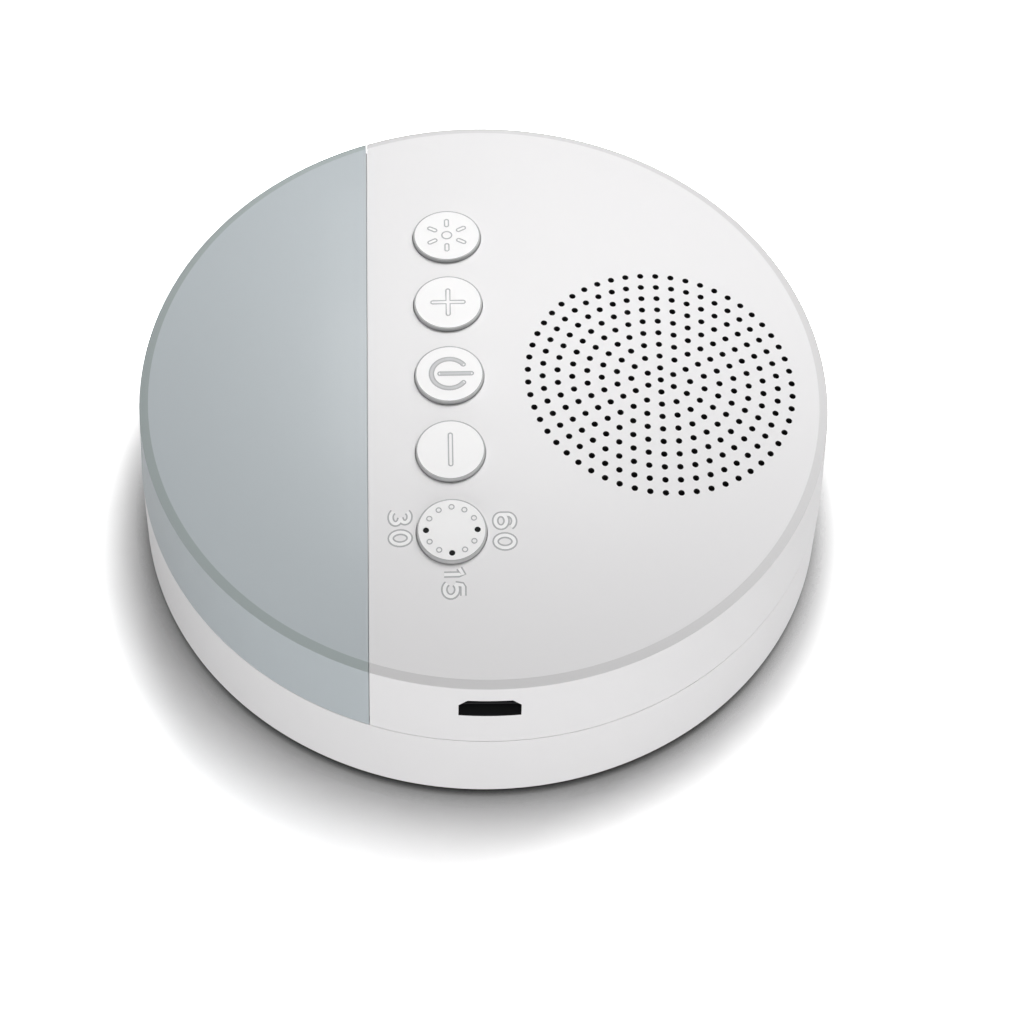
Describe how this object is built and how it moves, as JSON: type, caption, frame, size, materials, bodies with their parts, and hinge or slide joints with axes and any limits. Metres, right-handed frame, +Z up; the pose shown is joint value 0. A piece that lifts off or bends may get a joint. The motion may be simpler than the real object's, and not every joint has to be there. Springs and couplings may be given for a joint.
{
  "type": "sound machine",
  "caption": "Round bedside sound machine with a domed pierced loudspeaker grille, a column of push keys, a night-light panel and a charging socket.",
  "frame": {"origin": "centre of the casing's axis on the plane that the rubber feet stand on", "axes": "+Z up the casing's axis through the domed top, +X from the light panel to the loudspeaker grille, -Y out of the charging socket"},
  "size_m": [0.0966, 0.0966, 0.0341],
  "materials": {
    "white_shell": "fine satin moulded ABS",
    "panel_grey": "satin grey-blue translucent moulding",
    "key_white": "satin moulded ABS",
    "plunger_black": "moulded nylon",
    "black_plastic": "moulded nylon",
    "foot_rubber": "soft matt",
    "screw_steel": "zinc plated",
    "socket_steel": "nickel plated",
    "stamped_steel": "black plated stamping",
    "ferrite": "sintered ferrite",
    "copper_coil": "enamelled winding",
    "cone_paper": "pressed paper",
    "surround_rubber": "matt",
    "foam": "closed-cell foam",
    "grille_cloth": "fine black dust cloth",
    "cell_sleeve": "shrunk sleeve",
    "board_green": "solder mask",
    "board_white": "white solder mask",
    "led_lens": "phosphor-filled lens"
  },
  "bodies": {
    "casing": {"top_cover": "white_shell", "light_panel": "panel_grey", "base_shell": "white_shell", "rubber_feet": "foot_rubber", "housing_screws": "screw_steel", "switch_housings": "black_plastic", "main_board": "board_green", "board_screws": "screw_steel", "usb_shell": "socket_steel", "usb_tongue": "black_plastic", "speaker_frame": "stamped_steel", "speaker_top_plate": "stamped_steel", "speaker_magnet": "ferrite", "speaker_back_plate": "stamped_steel", "cone_surround": "surround_rubber", "speaker_gasket": "foam", "grille_cloth": "grille_cloth", "speaker_screws": "screw_steel", "battery_cell": "cell_sleeve", "battery_pads": "foam", "light_tray": "white_shell", "light_board": "board_white", "night_light_leds": "led_lens", "tray_screws": "screw_steel"},
    "key_light": {"button_light": "key_white", "plunger_light": "plunger_black"},
    "key_volume_up": {"button_volume_up": "key_white", "plunger_volume_up": "plunger_black"},
    "key_power": {"button_power": "key_white", "plunger_power": "plunger_black"},
    "key_volume_down": {"button_volume_down": "key_white", "plunger_volume_down": "plunger_black"},
    "key_timer": {"button_timer": "key_white", "plunger_timer": "plunger_black"},
    "cone": {"voice_coil": "copper_coil", "speaker_cone": "cone_paper", "dust_cap": "cone_paper"}
  },
  "joints": [
    {"name": "press_light", "type": "slide", "parent": "casing", "child": "key_light", "axis": [0, 0, -1], "range_m": [0, 0.0003], "stiffness_N_per_m": 900},
    {"name": "press_volume_up", "type": "slide", "parent": "casing", "child": "key_volume_up", "axis": [0, 0, -1], "range_m": [0, 0.0003], "stiffness_N_per_m": 900},
    {"name": "press_power", "type": "slide", "parent": "casing", "child": "key_power", "axis": [0, 0, -1], "range_m": [0, 0.0003], "stiffness_N_per_m": 900},
    {"name": "press_volume_down", "type": "slide", "parent": "casing", "child": "key_volume_down", "axis": [0, 0, -1], "range_m": [0, 0.0003], "stiffness_N_per_m": 900},
    {"name": "press_timer", "type": "slide", "parent": "casing", "child": "key_timer", "axis": [0, 0, -1], "range_m": [0, 0.0003], "stiffness_N_per_m": 900},
    {"name": "cone_travel", "type": "slide", "parent": "casing", "child": "cone", "axis": [0, 0, 1], "range_m": [-0.0008, 0.0008], "stiffness_N_per_m": 400, "deforming": ["cone_surround"]}
  ]
}
